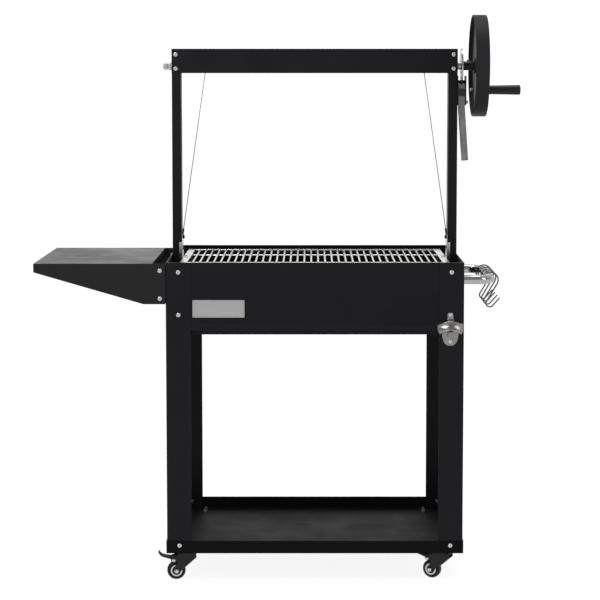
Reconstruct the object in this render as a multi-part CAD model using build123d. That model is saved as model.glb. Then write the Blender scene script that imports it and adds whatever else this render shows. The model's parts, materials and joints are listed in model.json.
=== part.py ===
from build123d import *
import os
from math import cos, radians, sin

# Charcoal grill cart with a cooking grate that a handwheel winch lifts on two wire ropes.
# The cart stands on four casters, with a side shelf on its left and a hook rail on its right.
# Millimetres, +Z up, +X to the right of a cook who stands at the front, +Y to the back.
# The model is laid out about the middle of the body, and save() moves it so that the origin
# lies on the floor under the middle of the whole object.

# ---- driving dimensions -------------------------------------------------------------------
BODY_HALF_W = 390.0          # outer faces of the legs, left and right
BODY_HALF_D = 275.0          # outer faces of the legs, front and back
BODY_TOP = 851.0
PANEL_BOTTOM = 672.0
FIREBOX_BOTTOM = 660.0
LEG_FACE = 65.0              # width of each face of an angle leg
SHEET = 2.0                  # legs, posts, beam, trays and shelf
PANEL = 1.5                  # firebox panels, grate hangers
BEAD_Z = 687.0               # stiffening bead along the front and rear panels

TRAY_BOTTOM = 80.5
TRAY_LIP = 33.5
TRAY_FLOOR = TRAY_BOTTOM + SHEET

POST_W = 25.0                # post tube, across the cart
POST_HALF_D = 25.0           # post tube, front to back
POST_OUT = 388.0             # outer face of a post
POST_IN = POST_OUT - POST_W
POST_BOTTOM = 690.0
BEAM_BOTTOM = 1344.0
BEAM_TOP = 1410.0

SHAFT_Z = 1364.0
SHAFT_R = 8.0
SHAFT_LEFT = -412.0
RUNNING = 0.06               # radial clearance of a part that turns on another
BUSH_R = 11.0
DRUM_X = 295.5
DRUM_R = 12.5
ROPE_R = 1.25
ROPE_GAP = 0.4
ROPE_Y = -(DRUM_R + ROPE_R + ROPE_GAP)  # the ropes leave the drums on the cook's side
ROPE_TOP = SHAFT_Z - 6.0
ROPE_FOOT_X = 358.2
ROPE_FOOT = 921.0

WHEEL_R = 138.0
WHEEL_LEFT = 429.0
WHEEL_RIGHT = 466.0
WEB_LEFT = 440.0
WEB_RIGHT = 444.0
GRIP_Y = 94.0
GRIP_Z = SHAFT_Z - 66.0
GRIP_START = 446.0
GRIP_END = 570.5
GRIP_PIN_R = 4.0
COLLAR_LEFT = 406.0
COLLAR_R = 12.5
RIM_WALL = 5.0
BOSS_R = 20.0
BOSS_LEFT = 7.0              # how far the boss stands out of the web on each side
BOSS_RIGHT = 8.0
GRIP_BOSS_R = 11.0

DISC_LEFT = 398.0
DISC_RIGHT = 402.0
DISC_R = 48.0
BRAKE_PIVOT_Z = 1265.0
BRAKE_PIN_R = 4.0
BRAKE_MID_X = 400.4

GRATE_TOP = 843.0
GRATE_HALF_D = 230.0
GRATE_EDGE_OUT = 359.0
GRATE_EDGE_IN = 340.0
GRATE_RODS = 36
ROD_PITCH = 18.6
ROD_R = 2.5
CROSS_ROD_R = 3.0
CROSS_ROD_Y = (-121.0, 105.0)
HANGER_TOP = 906.0
HANGER_FLANGE_TOP = 884.0
HANGER_X = 361.0
EYE_Z = 898.0

SHELF_OUT = -735.0
SHELF_IN = -425.0
SHELF_TOP = 848.5
SHELF_FRONT = -275.0
SHELF_BACK = 210.0
SHELF_LIP = 23.0
SHELF_ROOT = 742.0           # lower edge of the side skirts where they meet the body
SHELF_BEND_X = -448.0

RAIL_X = 472.0
RAIL_Y = 150.0
RAIL_Z = 794.0
RAIL_R = 12.5
RAIL_BEND = 40.0
HOOK_Y = (-103.0, -34.5, 34.5, 103.0)
HOOK_WIRE_R = 2.0
RAIL_SCREW_HOLE_R = 2.3
HOOK_HANG = 5.5              # the shank leans this much less than it is drawn, degrees

OPENER_X = 354.0
OPENER_TOP = 722.0
OPENER_FOOT = 633.0
OPENER_SCREWS_Z = (714.0, 644.0)
OPENER_PROUD = 30.0

BOLT_R = 3.0
HOLE_R = 3.3
HEAD_R = 6.0
HEAD_H = 3.5
NUT_R = 5.8
NUT_H = 5.0
LEG_BOLT_X = 357.0
LEG_BOLT_Z = (826.0, 714.0)
TRAY_BOLT_Z = 102.0
BEAM_BOLT_X = 377.0
BEAM_BOLT_Z = (1394.0, 1356.0)
POST_BOLT_Z = (830.0, 710.0)

CASTER_X = 340.0
CASTER_Y = 225.0
CASTER_HOLE_X = 25.0
CASTER_HOLE_Y = 20.0
CASTER_WHEEL_R = 24.6
CASTER_TRAIL = 29.0
CASTER_AXLE_R = 4.0
PEDAL_PIVOT = (36.5, 54.5)   # along the trail, and height above the floor
PEDAL_PIN_R = 2.5
# heading of each caster's trail, in degrees from +X
CASTERS = {
    "front_left": (-1, -1, 185.0),
    "front_right": (1, -1, 153.0),
    "rear_left": (-1, 1, 12.0),
    "rear_right": (1, 1, 200.0),
}

# ---- where the origin lies ----------------------------------------------------------------
FRONT_MOST = -BODY_HALF_D - OPENER_PROUD
BACK_MOST = BODY_HALF_D + SHEET + HEAD_H
ORIGIN = Vector((SHELF_OUT + GRIP_END) / 2, (FRONT_MOST + BACK_MOST) / 2, 0)


def save(node, *solids):
    """Write one node, moved from the body's middle to the model's origin."""
    pieces = [one for piece in solids for one in piece.solids()]
    kept = Pos(-ORIGIN.X, -ORIGIN.Y, 0) * Compound(children=pieces)
    export_step(kept, f"parts/{node}.step")
    for solid in kept.solids():
        if not solid.is_valid:
            print("not valid:", node)


# ---- shared shapes ------------------------------------------------------------------------
def block(x0, x1, y0, y1, z0, z1):
    """A box between two corners."""
    return Pos((x0 + x1) / 2, (y0 + y1) / 2, (z0 + z1) / 2) * Box(x1 - x0, y1 - y0, z1 - z0)


def rod(start, end, radius):
    """A round bar between two points."""
    run = Vector(*end) - Vector(*start)
    return extrude(Plane(origin=start, z_dir=run) * Circle(radius), run.length)


def prism_x(outline, x0, x1):
    """An outline of (y, z) points, drawn out along X."""
    return extrude(Plane.YZ.offset(x0) * Polygon(*outline, align=None), x1 - x0, dir=(1, 0, 0))


def prism_y(outline, y0, y1):
    """An outline of (x, z) points, drawn out along Y."""
    return extrude(Plane.XZ.offset(-y0) * Polygon(*outline, align=None), y1 - y0, dir=(0, 1, 0))


def eased_prism_y(outline, y0, y1, radius):
    """An outline of (x, z) points with rounded corners, drawn out along Y."""
    flat = Polygon(*outline, align=None)
    return extrude(Plane.XZ.offset(-y0) * fillet(flat.vertices(), radius), y1 - y0, dir=(0, 1, 0))


def prism_z(outline, z0, z1):
    """An outline of (x, y) points, drawn out along Z."""
    return extrude(Plane.XY.offset(z0) * Polygon(*outline, align=None), z1 - z0, dir=(0, 0, 1))


def left_of(piece):
    """The left-hand twin of a right-hand piece."""
    return mirror(piece, Plane.YZ)


def rear_of(piece):
    """The rear twin of a front piece."""
    return mirror(piece, Plane.XZ)


def bolt(head_seat, inward, length, head_r=HEAD_R, head_h=HEAD_H, shank_r=BOLT_R):
    """A socket button screw: its head stands on head_seat and its shank runs inward."""
    seat = Vector(*head_seat)
    inward = Vector(*inward)
    head = extrude(Plane(origin=seat, z_dir=-inward) * Circle(head_r), head_h)
    rims = head.edges().filter_by(GeomType.CIRCLE)
    head = fillet(rims.sort_by(lambda rim: (rim.center() - seat).dot(inward))[0], head_h * 0.6)
    socket = extrude(Plane(origin=seat - inward * (head_h - 2), z_dir=-inward)
                     * RegularPolygon(head_r * 0.42, 6), head_h)
    shank = extrude(Plane(origin=seat - inward * 0.5, z_dir=inward) * Circle(shank_r), length + 0.5)
    return head - socket + shank


def nut(seat, outward, height=NUT_H, hole_r=BOLT_R):
    """A hexagon nut that stands on seat and faces outward."""
    plane = Plane(origin=seat, z_dir=outward)
    return extrude(plane * (RegularPolygon(NUT_R, 6) - Circle(hole_r)), height)


def holes_y(points, y, radius=HOLE_R, reach=12.0):
    """Drills along Y at (x, z) points, centred on y."""
    return [rod((x, y - reach, z), (x, y + reach, z), radius) for x, z in points]


def holes_x(points, x, radius=HOLE_R, reach=12.0):
    """Drills along X at (y, z) points, centred on x."""
    return [rod((x - reach, y, z), (x + reach, y, z), radius) for y, z in points]


# ---- body: legs, firebox panels and lower tray --------------------------------------------
SHELF_BRACKET_BOLTS_Z = (770.0, 818.0)
SHELF_BRACKET_FRONT_Y = -255.0
SHELF_BRACKET_REAR_Y = 190.0
JOGGLE_Y = 209.5             # the side panels step in behind the legs here
LAP = 268.0                  # how far their ends reach towards the front and back
RAIL_SCREW_OFFSET = 17.0


def leg():
    """The front right leg: an angle, rounded along its bend."""
    x_in, y_in = BODY_HALF_W - SHEET, BODY_HALF_D - SHEET
    outline = [
        (BODY_HALF_W - LEG_FACE, -BODY_HALF_D),
        (BODY_HALF_W, -BODY_HALF_D),
        (BODY_HALF_W, -BODY_HALF_D + LEG_FACE),
        (x_in, -BODY_HALF_D + LEG_FACE),
        (x_in, -y_in),
        (BODY_HALF_W - LEG_FACE, -y_in),
    ]
    angle = prism_z(outline, TRAY_FLOOR, BODY_TOP)
    bend = angle.edges().filter_by(Axis.Z).sort_by_distance((BODY_HALF_W, -BODY_HALF_D, BODY_TOP))[0]
    angle = fillet(bend, 3.0)
    return angle - holes_y([(LEG_BOLT_X, TRAY_BOLT_Z)], -BODY_HALF_D)


def legs():
    panel_bolts = holes_y([(LEG_BOLT_X, z) for z in LEG_BOLT_Z], -BODY_HALF_D)
    opener_screws = holes_y([(OPENER_X, z) for z in OPENER_SCREWS_Z], -BODY_HALF_D)
    bracket_bolts = holes_x([(-SHELF_BRACKET_FRONT_Y, z) for z in SHELF_BRACKET_BOLTS_Z], BODY_HALF_W)
    plain = leg()
    full = plain - panel_bolts
    save("leg_front_left", left_of(full - [rear_of(drill) for drill in bracket_bolts]))
    save("leg_front_right", plain - panel_bolts[:1] - opener_screws)
    save("leg_rear_left", left_of(rear_of(full)))
    save("leg_rear_right", rear_of(full))


def long_panel(drills):
    """The front firebox panel: hemmed on top, beaded and turned in at the bottom."""
    half = BODY_HALF_W - SHEET - PANEL - 1
    face = -BODY_HALF_D + SHEET
    sheet = block(-half, half, face, face + PANEL, PANEL_BOTTOM, BODY_TOP)
    foot = block(-half, half, face, face + 16, PANEL_BOTTOM, PANEL_BOTTOM + PANEL)
    hem = block(-half, half, face, face + 9, BODY_TOP - PANEL, BODY_TOP)
    bead_end = BODY_HALF_W - LEG_FACE - 2
    bead = rod((-bead_end, face + PANEL, BEAD_Z), (bead_end, face + PANEL, BEAD_Z), 2 * PANEL)
    return sheet + foot + hem + bead - drills


def side_panel():
    """The right firebox panel, joggled so that its ends lap behind the legs."""
    x = BODY_HALF_W
    face = block(x - SHEET, x, -JOGGLE_Y, JOGGLE_Y, PANEL_BOTTOM, BODY_TOP)
    laps = [
        block(x - 2 * SHEET, x - SHEET, min(a, b), max(a, b), PANEL_BOTTOM, BODY_TOP)
        for a, b in ((JOGGLE_Y - 6, LAP), (6 - JOGGLE_Y, -LAP))
    ]
    foot = block(x - 16, x - SHEET, -200, 200, PANEL_BOTTOM, PANEL_BOTTOM + PANEL)
    return face + laps + foot - holes_x([(0, z) for z in POST_BOLT_Z], x)


def panels():
    bolts = [(side * LEG_BOLT_X, z) for side in (-1, 1) for z in LEG_BOLT_Z]
    opener_top = (OPENER_X, OPENER_SCREWS_Z[0])
    save("front_panel", long_panel(holes_y(bolts[:3] + [opener_top], -BODY_HALF_D)))
    save("rear_panel", rear_of(long_panel(holes_y(bolts, -BODY_HALF_D))))
    bracket = [(y, z) for y in (SHELF_BRACKET_FRONT_Y, SHELF_BRACKET_REAR_Y) for z in SHELF_BRACKET_BOLTS_Z]
    save("left_side_panel", left_of(side_panel()) - holes_x(bracket, -BODY_HALF_W))
    flange = [
        (end + step, RAIL_Z)
        for end in (-RAIL_Y, RAIL_Y) for step in (-RAIL_SCREW_OFFSET, RAIL_SCREW_OFFSET)
    ]
    save("right_side_panel", side_panel() - holes_x(flange, BODY_HALF_W, RAIL_SCREW_HOLE_R))


FIREBOX_HALF_W = 371.0
FIREBOX_HALF_D = 256.0
COAL_HALF_W = 340.0          # the bar grate that carries the charcoal
COAL_HALF_D = 238.0
COAL_TOP = 702.0
COAL_BAR = 8.0
COAL_BAR_H = 12.0
COAL_BARS = 21


def firebox():
    """A sheet tray that hangs in the panels' turned-in feet, and the bar grate that stands in it."""
    wall_x, wall_y = FIREBOX_HALF_W, FIREBOX_HALF_D
    rim_x, rim_y = wall_x + 13, wall_y + 12
    rim_z = PANEL_BOTTOM + PANEL
    outer = block(-wall_x, wall_x, -wall_y, wall_y, FIREBOX_BOTTOM, rim_z + SHEET)
    inner = block(-wall_x + SHEET, wall_x - SHEET, -wall_y + SHEET, wall_y - SHEET,
                  FIREBOX_BOTTOM + SHEET, rim_z + 2 * SHEET)
    rim = block(-rim_x, rim_x, -rim_y, rim_y, rim_z, rim_z + SHEET)
    save("firebox_tray", outer + rim - inner)

    half_x, half_y, bar, top = COAL_HALF_W, COAL_HALF_D, COAL_BAR, COAL_TOP
    foot, floor = top - COAL_BAR_H, FIREBOX_BOTTOM + SHEET
    frame = block(-half_x, half_x, -half_y, half_y, foot, top)
    frame -= block(-half_x + bar, half_x - bar, -half_y + bar, half_y - bar, foot - 1, top + 1)
    pitch = (2 * half_x - bar) / (COAL_BARS + 1)
    bars = [
        block(x - bar / 2, x + bar / 2, -half_y + 1, half_y - 1, foot, top)
        for x in (-half_x + bar / 2 + pitch * step for step in range(1, COAL_BARS + 1))
    ]
    feet = [
        block(x - 12, x + 12, y - 4, y + 4, floor, top - 6)
        for x in (-half_x + 12, half_x - 12)
        for y in (-half_y + 4, half_y - 4)
    ]
    save("charcoal_grate", frame + bars + feet)


def lower_tray():
    out_x, out_y = BODY_HALF_W + SHEET, BODY_HALF_D + SHEET
    top = TRAY_BOTTOM + TRAY_LIP
    outer = block(-out_x, out_x, -out_y, out_y, TRAY_BOTTOM, top)
    outer = fillet(outer.edges().filter_by(Axis.Z), 3.0)
    pan = outer - block(-BODY_HALF_W, BODY_HALF_W, -BODY_HALF_D, BODY_HALF_D, TRAY_FLOOR, top + 1)
    drills = []
    for side in (-1, 1):
        for end in (-1, 1):
            drills += holes_y([(side * LEG_BOLT_X, TRAY_BOLT_Z)], end * BODY_HALF_D)
    for x, y in caster_bolt_places():
        drills.append(rod((x, y, TRAY_BOTTOM - 5), (x, y, TRAY_FLOOR + 5), HOLE_R))
    save("lower_tray", pan - drills)


# ---- posts, beam and winch ----------------------------------------------------------------
def posts_and_beam():
    wall = SHEET
    tube = block(POST_IN, POST_OUT, -POST_HALF_D, POST_HALF_D, POST_BOTTOM, BEAM_TOP - SHEET)
    tube = fillet(tube.edges().filter_by(Axis.Z), 2.5)
    tube -= block(POST_IN + wall, POST_OUT - wall, -POST_HALF_D + wall, POST_HALF_D - wall,
                  POST_BOTTOM - 1, BEAM_TOP)
    beam_screws = [(BEAM_BOLT_X, z) for z in BEAM_BOLT_Z]
    tube -= holes_y(beam_screws, 0, reach=40.0)
    tube -= holes_x([(0, z) for z in POST_BOLT_Z], POST_OUT, reach=8.0)
    tube -= rod((POST_IN - 5, 0, SHAFT_Z), (POST_OUT + 5, 0, SHAFT_Z), BUSH_R)
    save("right_post", tube)
    save("left_post", left_of(tube))

    half_d = POST_HALF_D + SHEET
    beam = block(-POST_OUT, POST_OUT, -half_d, half_d, BEAM_BOTTOM, BEAM_TOP)
    beam = fillet(beam.edges().filter_by(Axis.X).group_by(Axis.Z)[-1], 3.0)
    beam -= block(-BODY_HALF_W, BODY_HALF_W, -POST_HALF_D, POST_HALF_D, BEAM_BOTTOM - 1, BEAM_TOP - SHEET)
    beam -= holes_y(beam_screws + [(-x, z) for x, z in beam_screws], 0, reach=40.0)
    save("top_beam", beam)

    bush = rod((POST_IN - 2, 0, SHAFT_Z), (POST_OUT, 0, SHAFT_Z), BUSH_R)
    bush += rod((POST_IN - 2, 0, SHAFT_Z), (POST_IN, 0, SHAFT_Z), BUSH_R + 4)
    bush -= rod((POST_IN - 5, 0, SHAFT_Z), (POST_OUT + 5, 0, SHAFT_Z), SHAFT_R + RUNNING)
    save("shaft_bushes", bush, left_of(bush))


def on_shaft(x0, x1, radius, bore=SHAFT_R):
    """A ring on the winch shaft."""
    hole = rod((x0 - 1, 0, SHAFT_Z), (x1 + 1, 0, SHAFT_Z), bore)
    return rod((x0, 0, SHAFT_Z), (x1, 0, SHAFT_Z), radius) - hole


def winch():
    nut_right = WEB_RIGHT + BOSS_RIGHT + 3.5
    shaft = rod((SHAFT_LEFT, 0, SHAFT_Z), (nut_right + 0.5, 0, SHAFT_Z), SHAFT_R)
    shaft = chamfer(shaft.edges().filter_by(GeomType.CIRCLE), 1.0)
    save("winch_shaft", shaft)

    width, flange, flange_r = 26.0, 3.0, 19.0
    drum = on_shaft(DRUM_X - width / 2, DRUM_X + width / 2, DRUM_R)
    for start in (DRUM_X - width / 2 - flange, DRUM_X + width / 2):
        drum += on_shaft(start, start + flange, flange_r)
    save("rope_drums", drum, left_of(drum))

    # a washer and two locknuts on the left end, and a round nut against the wheel
    washer_t, nut_t, nut_r = 1.5, 8.0, 12.5
    nut_left = -POST_OUT - washer_t - 1 - nut_t
    hexagon = extrude(Plane(origin=(nut_left, 0, SHAFT_Z), z_dir=(1, 0, 0)) * RegularPolygon(nut_r, 6), nut_t)
    locknut = hexagon - rod((SHAFT_LEFT - 8, 0, SHAFT_Z), (-POST_OUT, 0, SHAFT_Z), SHAFT_R)
    washer = on_shaft(-POST_OUT - washer_t - 0.5, -POST_OUT - 0.5, nut_r + 0.5)
    wheel_nut = on_shaft(WEB_RIGHT + BOSS_RIGHT, nut_right, 14.0)
    save("shaft_nuts", locknut, Pos(-nut_t - 2.5, 0, 0) * locknut, washer, wheel_nut)

    spacer = on_shaft(POST_OUT + 2.5, DISC_LEFT + 1, 11.0)
    disc = on_shaft(DISC_LEFT, DISC_RIGHT, DISC_R) + spacer
    save("brake_disc", disc)


def handwheel():
    """A dished wheel: a wide rim on a flat web, with a boss, clamped on the shaft by a collar."""
    axis_at = Pos(0, 0, SHAFT_Z)
    grip_at = GRIP_Z - SHAFT_Z
    rim = rod((WHEEL_LEFT, 0, 0), (WHEEL_RIGHT, 0, 0), WHEEL_R)
    rim = fillet(rim.edges().filter_by(GeomType.CIRCLE), 4.0)
    hollow = rod((WHEEL_LEFT - 1, 0, 0), (WEB_LEFT, 0, 0), WHEEL_R - RIM_WALL)
    hollow += rod((WEB_RIGHT, 0, 0), (WHEEL_RIGHT + 1, 0, 0), WHEEL_R - RIM_WALL)
    boss = rod((WEB_LEFT - BOSS_LEFT, 0, 0), (WEB_RIGHT + BOSS_RIGHT, 0, 0), BOSS_R)
    grip_boss = rod((WEB_LEFT - 1, GRIP_Y, grip_at), (WEB_RIGHT + 1, GRIP_Y, grip_at), GRIP_BOSS_R)
    bore = rod((WHEEL_LEFT - 1, 0, 0), (WHEEL_RIGHT + 1, 0, 0), SHAFT_R)
    pin_hole = rod((WEB_LEFT - 3, GRIP_Y, grip_at), (WEB_RIGHT + 3, GRIP_Y, grip_at), GRIP_PIN_R)
    save("handwheel", axis_at * (rim - hollow + boss + grip_boss - bore - pin_hole))

    collar = on_shaft(COLLAR_LEFT, WEB_LEFT - BOSS_LEFT, COLLAR_R)
    screw_x, screw_seat = COLLAR_LEFT + 13, SHAFT_Z + SHAFT_R
    collar -= rod((screw_x, 0, SHAFT_Z), (screw_x, 0, SHAFT_Z + 20), BOLT_R)
    save("hub_collar", collar)
    stem = rod((screw_x, 0, screw_seat), (screw_x, 0, screw_seat + 5), BOLT_R)
    head = extrude(Plane.XY.offset(screw_seat + 4.7) * Pos(screw_x, 0) * RegularPolygon(5.0, 6), 4)
    save("hub_set_screw", stem + head)

    pin = rod((WEB_LEFT - 9, GRIP_Y, GRIP_Z), (GRIP_END - 6, GRIP_Y, GRIP_Z), GRIP_PIN_R)
    pin += rod((GRIP_END - 6.5, GRIP_Y, GRIP_Z), (GRIP_END - 3, GRIP_Y, GRIP_Z), 7.0)
    pin_nut = nut((WEB_LEFT - 1, GRIP_Y, GRIP_Z), (-1, 0, 0), 6.0, GRIP_PIN_R)
    save("grip_pin", pin, pin_nut)

    outline = make_face([
        Polyline((GRIP_START, 0), (GRIP_START, 10.5), (GRIP_START + 22, 12.0)),
        Spline((GRIP_START + 22, 12.0), (GRIP_START + 75, 12.6), (GRIP_END - 3, 14.0)),
        Polyline((GRIP_END - 3, 14.0), (GRIP_END, 11.5), (GRIP_END, 0), (GRIP_START, 0)),
    ])
    grip = revolve(outline, Axis.X, 360)
    grip -= rod((GRIP_START - 1, 0, 0), (GRIP_END, 0, 0), GRIP_PIN_R + RUNNING)
    grip -= rod((GRIP_END - 7, 0, 0), (GRIP_END + 1, 0, 0), 8.0)
    save("crank_grip", Pos(0, GRIP_Y, GRIP_Z) * grip)


# ---- brake --------------------------------------------------------------------------------
BRACKET_LEFT = POST_OUT
BRACKET_RIGHT = 412.5
BRACKET_TOP = 1337.0
BRACKET_BOTTOM = 1257.0
BRACKET_WEB_TOP = 1325.0
BRACKET_FRONT = -19.0
BRACKET_BACK = 34.0          # far enough back for the cam to swing clear
BRACKET_WALL = 2.5
STRAP_BOTTOM = 1283.0        # the strap across the bracket's front
STRAP_TOP = 1301.0
LEVER_HALF_W = 9.0
LEVER_HALF_D = 9.0
LEVER_TOP = 1293.0
LEVER_BEND_Z = 1250.0
LEVER_FOOT_Z = 1106.0
LEVER_TILT = 4.0
CAM_HALF_D = 8.5
CAM_GAP = 0.5                # between the cam and the disc
SNUG = 0.02                  # clearance of a part pressed or welded into another


def channel(half_w, y0, y1, z0, z1, wall):
    """A channel about the Z axis, open to the back."""
    return (block(-half_w, half_w, y0, y1, z0, z1)
            - block(-half_w + wall, half_w - wall, y0 + wall, y1 + 1, z0 - 1, z1 + 1))


def brake():
    """A bracket on the post, and a lever whose cam lies against the rim of the disc."""
    left, right, wall = BRACKET_LEFT, BRACKET_RIGHT, BRACKET_WALL
    bracket = block(left, right, BRACKET_BACK - wall, BRACKET_BACK, BRACKET_BOTTOM, BRACKET_WEB_TOP)
    bracket += block(left, right, BRACKET_FRONT, BRACKET_FRONT + wall, STRAP_BOTTOM, STRAP_TOP)
    for x in (left, right - wall):
        bracket += block(x, x + wall, BRACKET_FRONT, BRACKET_BACK, BRACKET_BOTTOM, BRACKET_TOP)
    bracket -= rod((left - 1, 0, BRAKE_PIVOT_Z), (right + 1, 0, BRAKE_PIVOT_Z), BRAKE_PIN_R)
    save("brake_bracket", bracket)

    pin = rod((left, 0, BRAKE_PIVOT_Z), (right + 6, 0, BRAKE_PIVOT_Z), BRAKE_PIN_R)
    pin_head = nut((right, 0, BRAKE_PIVOT_Z), (1, 0, 0), 4.5, BRAKE_PIN_R)
    save("brake_pivot", pin + pin_head)

    pin_bore = rod((left, 0, BRAKE_PIVOT_Z), (right, 0, BRAKE_PIVOT_Z), BRAKE_PIN_R + RUNNING)
    head = channel(LEVER_HALF_W, -LEVER_HALF_D, LEVER_HALF_D, LEVER_BEND_Z - 1, LEVER_TOP, SHEET)
    arm = channel(LEVER_HALF_W, -LEVER_HALF_D, LEVER_HALF_D, LEVER_FOOT_Z - LEVER_BEND_Z, 0, SHEET)
    arm = Pos(0, 0, LEVER_BEND_Z) * Rot(0, -LEVER_TILT, 0) * arm
    save("brake_lever", Pos(BRAKE_MID_X, 0, 0) * (head + arm) - pin_bore)

    # the cam is round about the pivot, eased at the front corner that turns up when it is released
    reach = SHAFT_Z - DISC_R - BRAKE_PIVOT_Z - CAM_GAP
    foot = 10.0
    outline = Circle(reach) & Pos(0, (foot + reach) / 2) * Rectangle(2 * CAM_HALF_D, reach - foot)
    outline -= Polygon((-CAM_HALF_D - 1, reach - 5), (-CAM_HALF_D - 1, reach + 1), (0, reach + 1), align=None)
    cam = extrude(Plane.YZ * outline, LEVER_HALF_W, both=True)
    inside = LEVER_HALF_W - SHEET - SNUG
    head_top = LEVER_TOP + SNUG - BRAKE_PIVOT_Z
    socket = block(-LEVER_HALF_W - 1, LEVER_HALF_W + 1, -LEVER_HALF_D, LEVER_HALF_D, 0, head_top)
    socket -= block(-inside, inside, SHEET + SNUG - LEVER_HALF_D, LEVER_HALF_D, 0, reach)
    save("brake_cam", Pos(BRAKE_MID_X, 0, BRAKE_PIVOT_Z) * (cam - socket))


# ---- ropes and cooking grate --------------------------------------------------------------
END_BAR = 5.0                # thickness of the flat bar along the grate's front and back
GRATE_WEB = 16.0
GRATE_SCREWS = ((352.0, -14.0), (352.0, 14.0))


def rope():
    return rod((DRUM_X, ROPE_Y, ROPE_TOP), (ROPE_FOOT_X, ROPE_Y, ROPE_FOOT), ROPE_R)


def cooking_grate():
    """Round rods on two cross rods and two end bars, between two folded side rails."""
    half_x = ROD_PITCH * (GRATE_RODS - 1) / 2
    axis_z = GRATE_TOP - ROD_R
    rods = [
        rod((x, -GRATE_HALF_D, axis_z), (x, GRATE_HALF_D, axis_z), ROD_R)
        for x in (-half_x + ROD_PITCH * step for step in range(GRATE_RODS))
    ]
    cross_z = axis_z - ROD_R - CROSS_ROD_R + 0.6
    cross = [
        rod((-GRATE_EDGE_IN, y, cross_z), (GRATE_EDGE_IN, y, cross_z), CROSS_ROD_R)
        for y in CROSS_ROD_Y
    ]
    bars = [
        block(-GRATE_EDGE_IN, GRATE_EDGE_IN, y - END_BAR / 2, y + END_BAR / 2, GRATE_TOP - 8, GRATE_TOP - 0.5)
        for y in (-GRATE_HALF_D, GRATE_HALF_D)
    ]
    save("cooking_grate", cross[0] + cross[1:] + bars + rods)

    end = GRATE_HALF_D + END_BAR / 2
    top = block(GRATE_EDGE_IN, GRATE_EDGE_OUT, -end, end, GRATE_TOP - SHEET, GRATE_TOP)
    web = block(GRATE_EDGE_IN, GRATE_EDGE_IN + SHEET, -end, end, GRATE_TOP - GRATE_WEB, GRATE_TOP)
    drills = [rod((x, y, GRATE_TOP - 9), (x, y, GRATE_TOP + 9), HOLE_R) for x, y in GRATE_SCREWS]
    rail = top + web - drills
    save("grate_rails", rail, left_of(rail))

    foot_z = GRATE_TOP - SHEET
    half_y, gap = POST_HALF_D + 3.0, 1.5
    hanger = block(HANGER_X, HANGER_X + PANEL, -half_y, half_y, foot_z - 2, HANGER_TOP)
    for y0 in (-half_y, POST_HALF_D + gap):
        hanger += block(HANGER_X, POST_IN + 7, y0, y0 + PANEL, foot_z - 2, HANGER_FLANGE_TOP)
    hanger += block(GRATE_EDGE_IN + SHEET + 1, HANGER_X + PANEL, -22, 22, foot_z - 2, foot_z)
    drills.append(rod((HANGER_X - 5, ROPE_Y, EYE_Z), (HANGER_X + 5, ROPE_Y, EYE_Z), BOLT_R))
    hanger -= drills
    save("right_hanger", hanger)
    save("left_hanger", left_of(hanger))

    top_end = Vector(DRUM_X, ROPE_Y, ROPE_TOP)
    foot_end = Vector(ROPE_FOOT_X, ROPE_Y, ROPE_FOOT)
    slope = (top_end - foot_end).normalized()
    ferrule = rod(tuple(foot_end - slope * 0.3), tuple(foot_end - slope * 13), 2.5)
    strap = block(HANGER_X - 3, HANGER_X, ROPE_Y - 3.5, ROPE_Y + 3.5, EYE_Z - 5, HANGER_TOP + 4)
    eye = ferrule + strap + bolt((HANGER_X - 3, ROPE_Y, EYE_Z), (1, 0, 0), 4.6, 4.8, 2.6, BOLT_R - 0.1)
    save("rope_ends", eye, left_of(eye))
    grate_screws = [bolt((x, y, GRATE_TOP), (0, 0, -1), 9.0, 5.0, 2.5) for x, y in GRATE_SCREWS]
    grate_nuts = [nut((x, y, GRATE_TOP - 2 * SHEET), (0, 0, -1), 4.5) for x, y in GRATE_SCREWS]
    fasteners = grate_screws + grate_nuts
    save("grate_screws", *fasteners, *[left_of(piece) for piece in fasteners])


# ---- side shelf ---------------------------------------------------------------------------
SHELF_BOLT_X = -405.0
SHELF_BOLT_Z = (830.0, 757.0)
SHELF_PLATE_END = -420.0


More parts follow.
